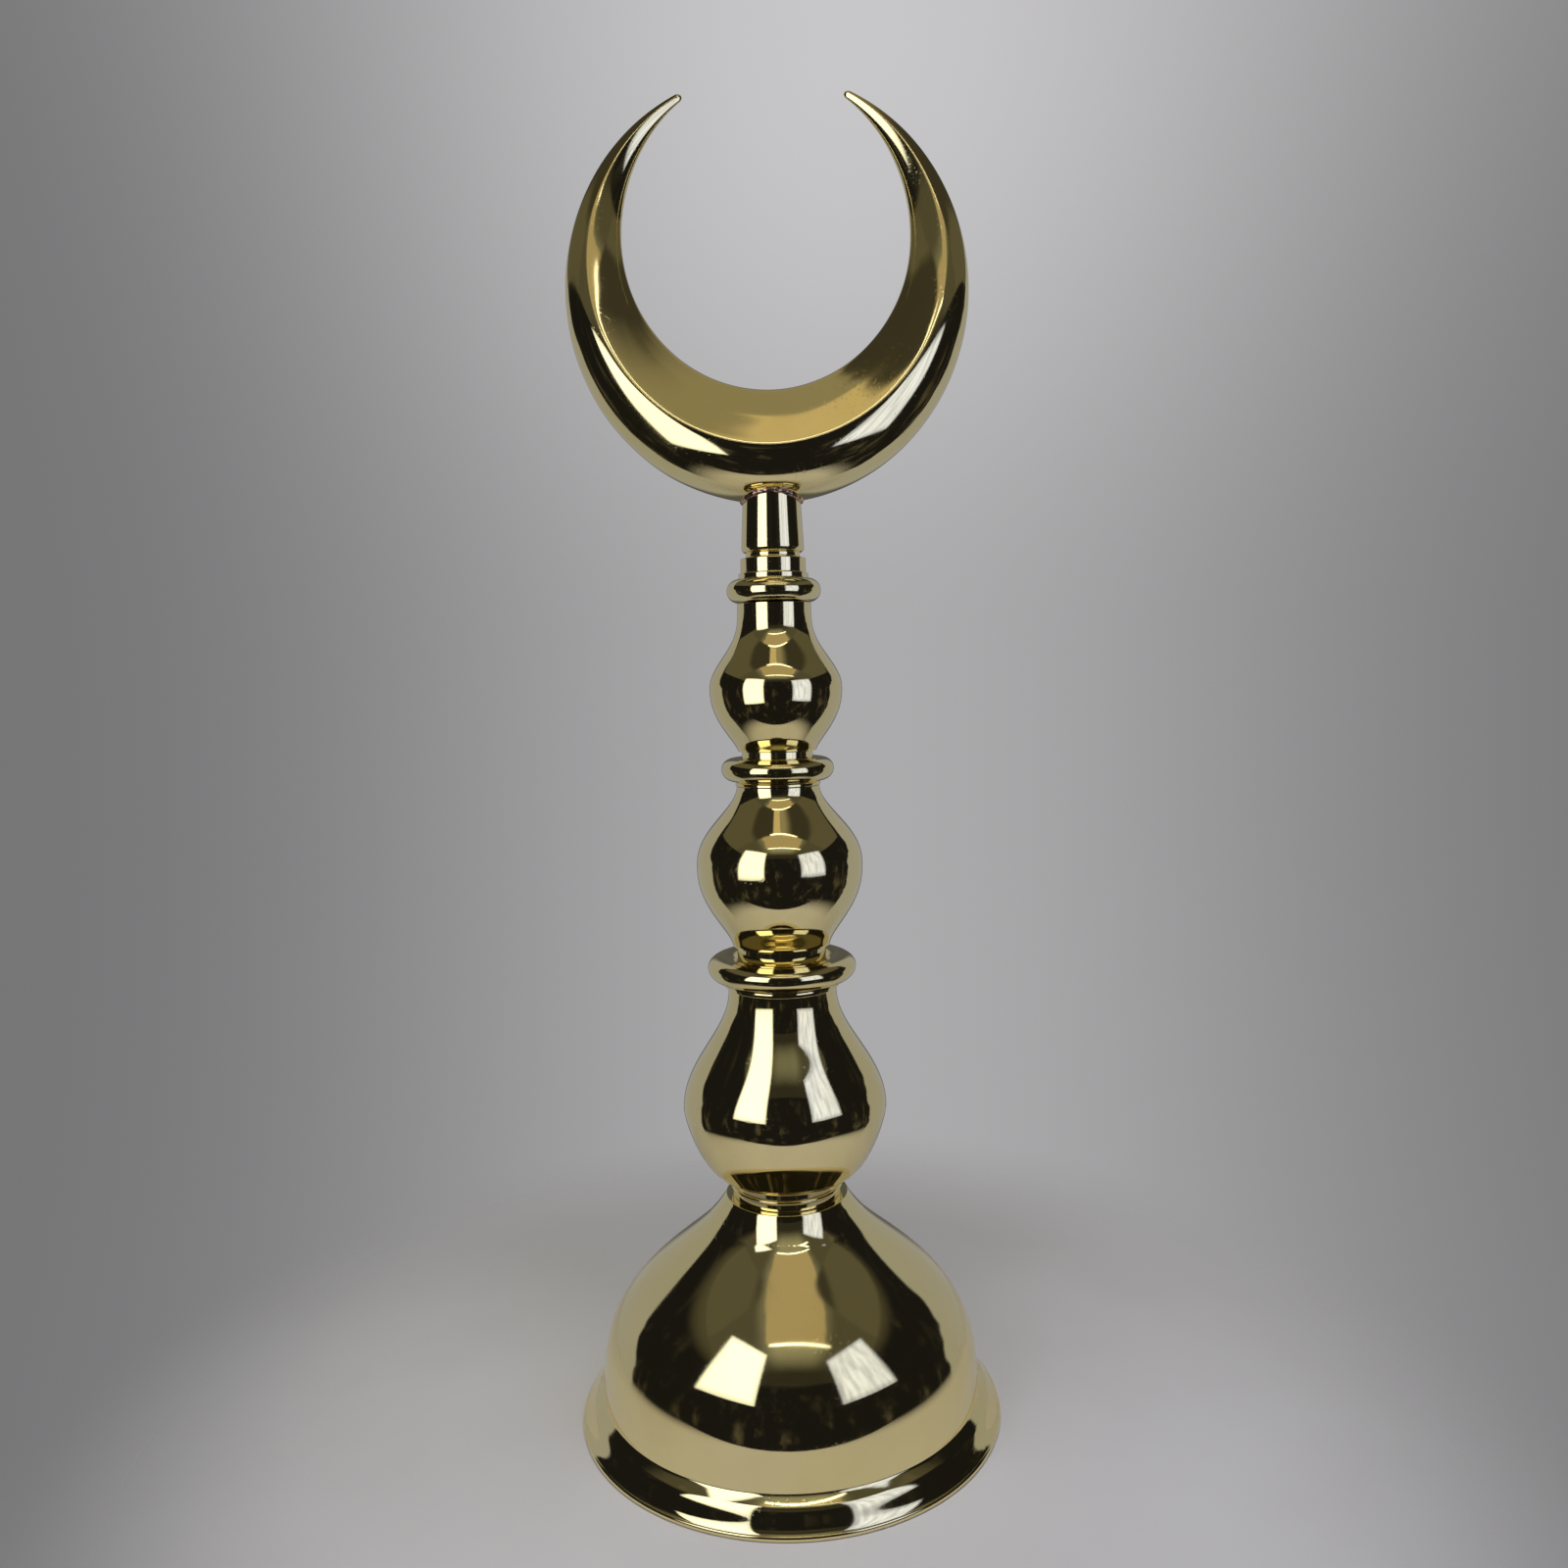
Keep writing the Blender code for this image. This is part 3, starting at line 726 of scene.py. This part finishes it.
def ellipse_reach(angle, centre_z, half_width, half_high, half_low):
    """Distance from the crescent's middle to an ellipse, along an angle from straight down."""
    dx = math.sin(angle)
    dz = -math.cos(angle)
    half_height = half_low
    for _ in range(2):
        a = (dx / half_width) ** 2 + (dz / half_height) ** 2
        b = -2.0 * dz * centre_z / half_height ** 2
        c = (centre_z / half_height) ** 2 - 1.0
        reach = (-b + math.sqrt(b * b - 4.0 * a * c)) / (2.0 * a)
        half_height = half_high if reach * dz > centre_z else half_low
    return reach


def crescent_section(angle):
    """Ring of (reach, depth) points round the crescent at an angle from straight down."""
    outer_z = OUTER_HALF_LOW - CRESCENT_MIDDLE
    inner_z = BOTTOM_THICKNESS + INNER_HALF_LOW - CRESCENT_MIDDLE
    outer = ellipse_reach(angle, outer_z, OUTER_HALF_WIDTH, OUTER_HALF_HIGH, OUTER_HALF_LOW)
    inner = ellipse_reach(angle, inner_z, INNER_HALF_WIDTH, INNER_HALF_HIGH, INNER_HALF_LOW)
    thick = outer - inner
    ridge = outer - RIDGE_SHARE * thick
    depth = HALF_DEPTH_SHARE * thick
    roll = min(ROLL_REACH / (ridge - inner), ROLL_MOST)
    ring = []
    for k in range(BOW_COLUMNS):
        turn = math.pi * k / BOW_COLUMNS
        share = math.sin(turn)
        half = depth * math.sqrt(1.0 - share ** BOW_POWER)
        ring.append((ridge + (outer - ridge) * share, math.copysign(half, -math.cos(turn))))
    for k in range(GABLE_COLUMNS):
        place = 2.0 * k / GABLE_COLUMNS - 1.0
        crowded = math.copysign(1.0 - (1.0 - abs(place)) ** RIDGE_CROWDING, place)
        q = 1.0 - abs(crowded)
        share = 1.0 - (1.0 - q) ** GABLE_POWER
        share += roll * (q ** ROLL_POWER - q)
        ring.append((ridge - (ridge - inner) * min(share, 1.0), -depth * crowded))
    return ring


def crescent_mesh():
    """Horned ring. Each section is a rounded bow outside its two ridges and a gable inside them."""
    bm = bmesh.new()
    rings = []
    limit = math.radians(HORN_ANGLE)
    centre = Vector((0.0, 0.0, low_z("crescent") + CRESCENT_MIDDLE))
    for i in range(-CRESCENT_ROWS // 2, CRESCENT_ROWS // 2 + 1):
        place = 2.0 * i / CRESCENT_ROWS
        angle = limit * (HORN_CROWDING * math.sin(0.5 * math.pi * place) + (1.0 - HORN_CROWDING) * place)
        out = Vector((math.sin(angle), 0.0, -math.cos(angle)))
        ring = crescent_section(angle)
        rings.append([bm.verts.new(centre + out * r + Vector((0.0, y, 0.0))) for r, y in ring])
    tips = []
    for ring, side in ((rings[0], -1.0), (rings[-1], 1.0)):
        middle = sum((v.co for v in ring), Vector()) / len(ring)
        along = Vector((math.cos(limit) * side, 0.0, math.sin(limit))) * TIP_LENGTH
        caps = []
        for i in range(1, TIP_ROWS):
            turn = 0.5 * math.pi * i / TIP_ROWS
            rise = along * math.sin(turn)
            caps.append([bm.verts.new(middle + (v.co - middle) * math.cos(turn) + rise) for v in ring])
        tips.append((caps, bm.verts.new(middle + along)))
    rows = tips[0][0][::-1] + rings + tips[1][0]
    count = BOW_COLUMNS + GABLE_COLUMNS
    for low, high in zip(rows, rows[1:]):
        for k in range(count):
            m = (k + 1) % count
            bm.faces.new((low[k], low[m], high[m], high[k]))
    for ring, tip in ((rows[0], tips[0][1]), (rows[-1], tips[1][1])):
        for k in range(count):
            bm.faces.new((ring[k], ring[(k + 1) % count], tip))
    bmesh.ops.recalc_face_normals(bm, faces=bm.faces)
    stray(bm, CRESCENT_STRAY, CRESCENT_SPAN)
    return bm


def solder_mesh(crescent_tree):
    """Lumpy bead of braze in the corner between the tube and the crescent."""
    bm = bmesh.new()
    at = low_z("neck_socket")
    rings = []
    for i in range(SOLDER_SIDES):
        angle = 2.0 * math.pi * i / SOLDER_SIDES
        out = Vector((math.cos(angle), math.sin(angle), 0.0))
        lump = sum(noise.noise(out * fineness + start) * share for start, fineness, share in SOLDER_SWELLS)
        size = SOLDER_SIZE * (1.0 + SOLDER_UNEVEN * lump)
        place = out * (NECK_TUBE_TOP + SOLDER_OFFSET)
        start = Vector((place.x, place.y, at + NECK_TUBE_TOP))
        hit = crescent_tree.ray_cast(start, Vector((0.0, 0.0, 1.0)))[0]
        middle = Vector((place.x, place.y, hit.z - SEAT_GAP))
        ring = []
        for k in range(SOLDER_COLUMNS):
            turn = 2.0 * math.pi * k / SOLDER_COLUMNS
            rise = Vector((0.0, 0.0, size * math.sin(turn)))
            ring.append(bm.verts.new(middle + out * size * SOLDER_FLATNESS * math.cos(turn) + rise))
        rings.append(ring)
    for low, high in zip(rings, rings[1:] + rings[:1]):
        for k in range(SOLDER_COLUMNS):
            m = (k + 1) % SOLDER_COLUMNS
            bm.faces.new((low[k], low[m], high[m], high[k]))
    return bm


def solder_material():
    """Braze metal with heat stains: dark and pink patches on dull brass."""
    mat, n, shader, position = new_material("solder_heat_stain")
    stains = n.marks(position, *BRAZE_STAINS)
    colour = n.mix(n.marks(position, *BRAZE_PATCHES), BRAZE, BRAZE_PINK)
    n.put(shader.inputs["Base Color"], n.mix(stains, colour, BRAZE_DARK))
    rough = n.math("ADD", BRAZE_ROUGHNESS, n.math("MULTIPLY", stains, STAIN_ROUGHNESS))
    n.put(shader.inputs["Roughness"], rough)
    n.bump(shader, n.noise(position, *BRAZE_GRAIN), *BRAZE_BUMP)
    n.put(shader.inputs["Metallic"], 1.0)
    return mat


def sheet_mesh(name, corners, material):
    """Flat mesh of four corners."""
    mesh = bpy.data.meshes.new(name)
    mesh.from_pydata(corners, [], [(0, 1, 2, 3)])
    mesh.materials.append(material)
    return mesh


def aim(obj, place, way):
    """Puts an object at a place with its Z axis along a way."""
    obj.rotation_mode = "QUATERNION"
    obj.rotation_quaternion = way.to_track_quat("Z", "Y")
    obj.location = place


def hide_panel(obj):
    """Keeps a glowing panel out of the camera and out of shadows, so that only the object's reflections and
    the light see it.
    """
    obj.visible_camera = False
    obj.visible_shadow = False


def glow_material(name):
    """Glowing material with its node helper, its emission node and its object coordinates."""
    mat = bpy.data.materials.new(name)
    mat.use_nodes = True
    mat.node_tree.nodes.clear()
    n = Nodes(mat.node_tree)
    emission = n.add("ShaderNodeEmission")
    output = n.add("ShaderNodeOutputMaterial")
    n.put(output.inputs["Surface"], emission.outputs[0])
    return mat, n, emission, n.add("ShaderNodeTexCoord").outputs["Object"]


def panel(name, centre, width, height, facing, strength, colour, streaks):
    """Glowing panel with a soft edge and, where it is streaky, folds."""
    mat, n, emission, position = glow_material(name)
    w = 0.5 * width
    h = 0.5 * height
    x, y = n.split(position)[:2]
    outer, inner = PANEL_EDGE
    edge_x = n.span(n.math("ABSOLUTE", x), outer * w, inner * w)
    edge_y = n.span(n.math("ABSOLUTE", y), outer * h, inner * h)
    fall = n.math("MULTIPLY", edge_x, edge_y)
    folds = n.marks(n.xyz(x, n.math("MULTIPLY", y, FOLD_STRETCH), 0.0), *PANEL_FOLDS, 1.0 - streaks, 1.0)
    lit = n.math("ADD", PANEL_RIM, n.math("MULTIPLY", fall, 1.0 - PANEL_RIM))
    glow = n.math("MULTIPLY", lit, folds)
    n.put(emission.inputs["Color"], (*colour, 1.0))
    n.put(emission.inputs["Strength"], n.math("MULTIPLY", glow, strength))
    corners = [(-w, -h, 0.0), (w, -h, 0.0), (w, h, 0.0), (-w, h, 0.0)]
    obj = new_object(name, sheet_mesh(name, corners, mat))
    aim(obj, centre, Vector(facing) - Vector(centre))
    hide_panel(obj)


def floor_material():
    """Pale cloth with soft rises that fades out at its far edge."""
    mat, n, shader, position = new_material("pale_floor")
    n.put(shader.inputs["Base Color"], n.mix(n.marks(position, *FLOOR_TONE), FLOOR_COOL, FLOOR_WARM))
    n.put(shader.inputs["Roughness"], FLOOR_ROUGHNESS)
    n.put(shader.inputs["Specular IOR Level"], FLOOR_SPECULAR)
    n.bump(shader, n.noise(position, *FLOOR_RISES), *FLOOR_BUMP)
    reach = n.add("ShaderNodeVectorMath", operation="LENGTH")
    n.put(reach.inputs[0], position)
    n.put(shader.inputs["Alpha"], n.span(reach.outputs["Value"], *FLOOR_FADE, 1.0, 0.0))
    return mat


def floor_piece(name, y0, y1, material, glossy):
    """Part of the floor, kept out of reflections where the real cloth ends."""
    x = FLOOR_HALF
    corners = [(-x, y0, 0.0), (x, y0, 0.0), (x, y1, 0.0), (-x, y1, 0.0)]
    obj = new_object(name, sheet_mesh(name, corners, material))
    obj.visible_glossy = glossy


def room():
    """World: a pale backdrop for the camera, and a cloth behind and a dark room in front for the brass."""
    world = bpy.data.worlds.new("studio")
    bpy.context.scene.world = world
    world.use_nodes = True
    world.node_tree.nodes.clear()
    n = Nodes(world.node_tree)
    direction = n.add("ShaderNodeTexCoord").outputs["Generated"]
    x, y, z = n.split(direction)

    # The cloth's side edges lean back as they rise, and they wave a little
    azimuth = n.math("ABSOLUTE", n.math("ARCTAN2", x, n.math("MULTIPLY", y, -1.0)))
    wave = n.math("SUBTRACT", n.noise(direction, *CLOTH_SWELLS), 0.5)
    edge = n.math("ADD", CLOTH_EDGE, n.math("MULTIPLY", n.math("MAXIMUM", z, 0.0), CLOTH_LEAN))
    edge = n.math("ADD", edge, n.math("MULTIPLY", wave, CLOTH_WAVE))
    cloth = n.span(n.math("SUBTRACT", azimuth, edge), -CLOTH_SOFTNESS, CLOTH_SOFTNESS)
    gap = n.math("MULTIPLY", n.span(azimuth, *CLOTH_GAP), CLOTH_GAP_SHARE)
    cloth = n.math("MULTIPLY", cloth, n.math("SUBTRACT", 1.0, gap))

    # Things in the dark room, faint and small
    clutter = n.marks(n.stretch(direction, (0.0, 0.0, 0.0), CLUTTER_STRETCH), *ROOM_CLUTTER)
    low = n.math("MULTIPLY", n.span(z, *CLUTTER_LOW), 1.0 - CLUTTER_LEAST)
    clutter = n.math("MULTIPLY", clutter, n.math("ADD", CLUTTER_LEAST, low))
    front = n.mix(clutter, ROOM_DARK, ROOM_THINGS)
    above = n.mix(n.span(z, *ROOM_TOP), front, ROOM_ABOVE)
    seen = n.mix(cloth, above, CLOTH_COLOUR)

    # The backdrop is brightest high in the middle and darkens towards both sides
    side = n.math("ABSOLUTE", n.math("SUBTRACT", x, BACKDROP_MIDDLE_X))
    more = n.math("SUBTRACT", n.span(z, *BACKDROP_RISE, *BACKDROP_MIDDLE), BACKDROP_SIDE)
    bright = n.math("ADD", BACKDROP_SIDE, n.math("MULTIPLY", n.span(side, BACKDROP_WIDTH, 0.0), more))
    bright = n.math("MAXIMUM", bright, n.span(y, *BACKDROP_TURN, 0.0, BACKDROP_BEHIND))
    tint = n.xyz(*(n.math("MULTIPLY", bright, share) for share in BACKDROP_TINT))

    background = n.add("ShaderNodeBackground")
    n.put(background.inputs["Color"], tint)
    reflected = n.add("ShaderNodeBackground")
    n.put(reflected.inputs["Color"], seen)
    mix = n.add("ShaderNodeMixShader")
    n.put(mix.inputs[0], n.add("ShaderNodeLightPath").outputs["Is Camera Ray"])
    n.put(mix.inputs[1], reflected.outputs[0])
    n.put(mix.inputs[2], background.outputs[0])
    output = n.add("ShaderNodeOutputWorld")
    n.put(output.inputs["Surface"], mix.outputs[0])


def ceiling_panel(name, bounds):
    """Level panel overhead that only reflections and the light see."""
    x0, y0, x1, y1, z = bounds
    mat, n, emission, position = glow_material(name)
    n.put(emission.inputs["Color"], ceiling_glow(n, position))
    corners = [(x0, y0, z), (x0, y1, z), (x1, y1, z), (x1, y0, z)]
    hide_panel(new_object(name, sheet_mesh(name, corners, mat)))


def box_mask(n, x, y, bounds, soft):
    """One inside a level rectangle, with soft edges."""
    x0, y0, x1, y1 = bounds
    mask_x = n.math("MULTIPLY", n.span(x, x0 - soft, x0 + soft), n.span(x, x1 + soft, x1 - soft))
    mask_y = n.math("MULTIPLY", n.span(y, y0 - soft, y0 + soft), n.span(y, y1 + soft, y1 - soft))
    return n.math("MULTIPLY", mask_x, mask_y)


def ceiling_glow(n, position):
    """Olive grey ceiling, lighter in the middle, with warm patches between and behind the lamps."""
    wobble = n.math("SUBTRACT", n.noise(position, *CEILING_WOBBLE), 0.5)
    wobble = n.math("MULTIPLY", wobble, WOBBLE_REACH)
    x, y = n.split(position)[:2]
    x = n.math("ADD", x, wobble)
    y = n.math("ADD", y, n.math("MULTIPLY", wobble, WOBBLE_DEPTH))
    side = n.math("ABSOLUTE", n.math("SUBTRACT", x, CEILING_MIDDLE_X))
    front = n.mix(n.span(side, *OLIVE_SIDE), OLIVE_DARK, OLIVE_PALE)
    front = n.mix(box_mask(n, x, y, CEILING_WARM, WARM_SOFTNESS), front, WARM_COLOUR)
    front = n.mix(n.span(y, *OLIVE_END), front, OLIVE_FAR)
    back = n.mix(n.span(x, *BACK_RIGHT), BACK_DARK, BACK_PALE)
    back = n.mix(box_mask(n, x, y, CEILING_TAN, TAN_SOFTNESS), back, TAN_COLOUR)
    back = n.mix(n.span(x, *BACK_LEFT), BACK_DARK, back)
    back = n.mix(n.span(side, *BACK_ENDS), back, BACK_SIDE)
    return n.mix(n.span(y, *BACK_START), front, back)


def soft_light(name, place, size, power, target):
    """Area light that shapes the floor's light and shadow and stays out of reflections."""
    data = bpy.data.lights.new(name, "AREA")
    data.shape = "RECTANGLE"
    data.size, data.size_y = size
    data.energy = power
    obj = new_object(name, data)
    aim(obj, place, Vector(place) - Vector(target))
    obj.visible_camera = False
    obj.visible_glossy = False


def camera():
    """Camera at the photograph's place, with its pitch and its slight roll."""
    forward = Vector((0.0, math.cos(CAMERA_PITCH), -math.sin(CAMERA_PITCH)))
    right = Vector((1.0, 0.0, 0.0))
    up = Vector((0.0, math.sin(CAMERA_PITCH), math.cos(CAMERA_PITCH)))
    rolled_right = right * math.cos(CAMERA_ROLL) - up * math.sin(CAMERA_ROLL)
    rolled_up = right * math.sin(CAMERA_ROLL) + up * math.cos(CAMERA_ROLL)
    data = bpy.data.cameras.new("camera")
    data.sensor_width = SENSOR_WIDTH
    data.lens = SENSOR_WIDTH * FOCAL_PIXELS / PICTURE_SIDE
    data.clip_start = CLIP_START
    obj = new_object("camera", data)
    turn = Matrix((rolled_right, rolled_up, -forward)).transposed()
    obj.matrix_world = Matrix.Translation(CAMERA_PLACE) @ turn.to_4x4()
    bpy.context.scene.camera = obj


camera()

turned("base_bell", bell_outline(), BELL_SIDES, brass("bell_brass", *FINISHES["base_bell"]))
base_collar_brass = brass("base_collar_brass", *FINISHES["base_collar"])
turned("base_collar", base_collar_outline(), TURNED_SIDES, base_collar_brass)
for node in BULBS:
    turned(node, bulb_outline(node), TURNED_SIDES, brass(node + "_brass", *FINISHES["bulb"]))
for node in COLLARS:
    turned(node, collar_outline(node), TURNED_SIDES, brass(node + "_brass", *FINISHES["collar"]))

crescent = crescent_mesh()
crescent_tree = BVHTree.FromBMesh(crescent)
neck = neck_mesh(crescent_tree)
stray(neck, TURNED_STRAY, TURNED_SPAN)
neck = piece("neck_socket_polished", neck, brass("neck_brass", *FINISHES["neck_socket"]))
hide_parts("neck_socket")
piece("solder_bead", solder_mesh(crescent_tree), solder_material())
crescent_brass = brass("crescent_brass", *FINISHES["crescent"], low_z("crescent") + CRESCENT_MIDDLE)
crescent = piece("crescent_polished", crescent, crescent_brass)
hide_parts("crescent")

room()
floor = floor_material()
floor_piece("floor_near", -FLOOR_HALF, CLOTH_FRONT, floor, False)
floor_piece("floor_cloth", CLOTH_FRONT, FLOOR_HALF, floor, True)
ceiling_panel("ceiling", CEILING)
for values in PANELS:
    panel(*values)
soft_light("top_fill", TOP_PLACE, TOP_SIZE, TOP_POWER, TOP_AIM)
bpy.context.scene.view_settings.view_transform = "Standard"
